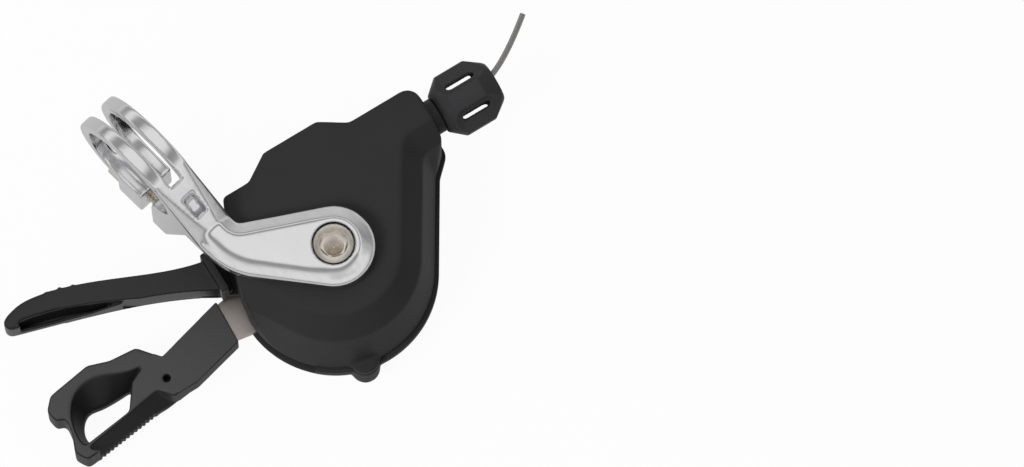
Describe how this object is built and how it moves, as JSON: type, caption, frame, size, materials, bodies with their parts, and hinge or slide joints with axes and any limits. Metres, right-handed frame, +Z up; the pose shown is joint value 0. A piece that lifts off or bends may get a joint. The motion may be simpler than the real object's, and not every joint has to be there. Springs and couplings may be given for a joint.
{
  "type": "trigger gear shifter",
  "caption": "Handlebar trigger gear shifter: clamp with arm, black ratchet housing, thumb lever and release lever, barrel adjuster and inner cable.",
  "frame": {"origin": "centre of the handlebar clamp's bore", "axes": "+X along the handlebar, from the levers' side towards the cable's side; +Z up, out of the cover's flat top; +Y ahead of the rider, away from the housing"},
  "size_m": [0.1262, 0.0739, 0.0473],
  "materials": {
    "clamp_alloy": "polished",
    "bolt_steel": "bright",
    "cover_black": "satin, fine grain",
    "lever_steel": "brushed",
    "lever_plastic": "satin",
    "knob_plastic": "satin",
    "cable_steel": "stranded",
    "inner_steel": "bright",
    "inner_alloy": "cast",
    "spool_plastic": "natural",
    "spring_steel": "bright"
  },
  "bodies": {
    "housing": {"clamp_bracket": "clamp_alloy", "clamp_bolt": "bolt_steel", "bracket_bolt": "bolt_steel", "top_cover": "cover_black", "bottom_cover": "cover_black", "cover_screws": "bolt_steel", "cable_hole_plug": "cover_black", "main_axle": "inner_steel", "axle_nut": "bolt_steel", "base_plate": "inner_steel", "adjuster_bracket": "inner_alloy", "bracket_screw": "bolt_steel", "holding_pawl_pin": "inner_steel", "spring_posts": "inner_steel", "inner_cable": "cable_steel", "spool_spring": "spring_steel", "main_lever_spring": "spring_steel", "release_spring": "spring_steel", "holding_pawl_spring": "spring_steel"},
    "main_lever": {"main_lever_arm": "lever_steel", "main_lever_pad": "lever_plastic", "main_lever_peg": "inner_steel", "drive_pawl_pin": "inner_steel", "drive_pawl_spring": "spring_steel"},
    "drive_pawl": {"drive_pawl": "inner_steel"},
    "release_lever": {"release_lever_arm": "lever_steel", "release_lever_grip": "lever_plastic"},
    "spool": {"take_up_spool": "spool_plastic", "cable_nipple": "cable_steel", "holding_ratchet": "inner_steel", "drive_ratchet": "inner_steel"},
    "holding_pawl": {"holding_pawl": "inner_steel", "release_pin": "inner_steel"},
    "adjuster_collar": {"detent_collar": "knob_plastic"},
    "adjuster": {"adjuster_knob": "knob_plastic", "adjuster_bolt": "inner_steel"}
  },
  "joints": [
    {"name": "main_lever_turn", "type": "hinge", "parent": "housing", "child": "main_lever", "pos_m": [0.0147, -0.0393, -0.0258], "axis": [0, 0, 1], "range_deg": [0, 36], "stiffness_Nm_per_rad": 0.08, "springref_deg": -17.19, "deforming": ["main_lever_spring"]},
    {"name": "drive_pawl_turn", "type": "hinge", "parent": "main_lever", "child": "drive_pawl", "pos_m": [0.00282, -0.04812, -0.0235], "axis": [0, 0, 1], "range_deg": [0, 8], "stiffness_Nm_per_rad": 0.004, "deforming": ["drive_pawl_spring"]},
    {"name": "release_lever_turn", "type": "hinge", "parent": "housing", "child": "release_lever", "pos_m": [0.0147, -0.0393, -0.0216], "axis": [0, 0, 1], "range_deg": [-10, 10], "stiffness_Nm_per_rad": 0.06, "deforming": ["release_spring"]},
    {"name": "spool_turn", "type": "hinge", "parent": "housing", "child": "spool", "pos_m": [0.0147, -0.0393, -0.0123], "axis": [0, 0, 1], "range_deg": [0, 120], "stiffness_Nm_per_rad": 0.01, "springref_deg": -34.38, "deforming": ["spool_spring", "inner_cable"]},
    {"name": "holding_pawl_turn", "type": "hinge", "parent": "housing", "child": "holding_pawl", "pos_m": [0.0294, -0.0376, -0.0198], "axis": [0, 0, 1], "range_deg": [0, 8], "stiffness_Nm_per_rad": 0.004, "deforming": ["holding_pawl_spring"]},
    {"name": "adjuster_advance", "type": "slide", "parent": "housing", "child": "adjuster_collar", "axis": [0.9728, -0.2317, 0], "range_m": [0, 0.0032], "deforming": ["inner_cable"]},
    {"name": "adjuster_turn", "type": "hinge", "parent": "adjuster_collar", "child": "adjuster", "pos_m": [0.05057, -0.03284, -0.0123], "axis": [0.9728, -0.2317, 0], "range_deg": [0, 1440]}
  ],
  "couplings": [
    {"joint": "adjuster_turn", "follows": "adjuster_advance", "rad_per_m": 7854}
  ]
}
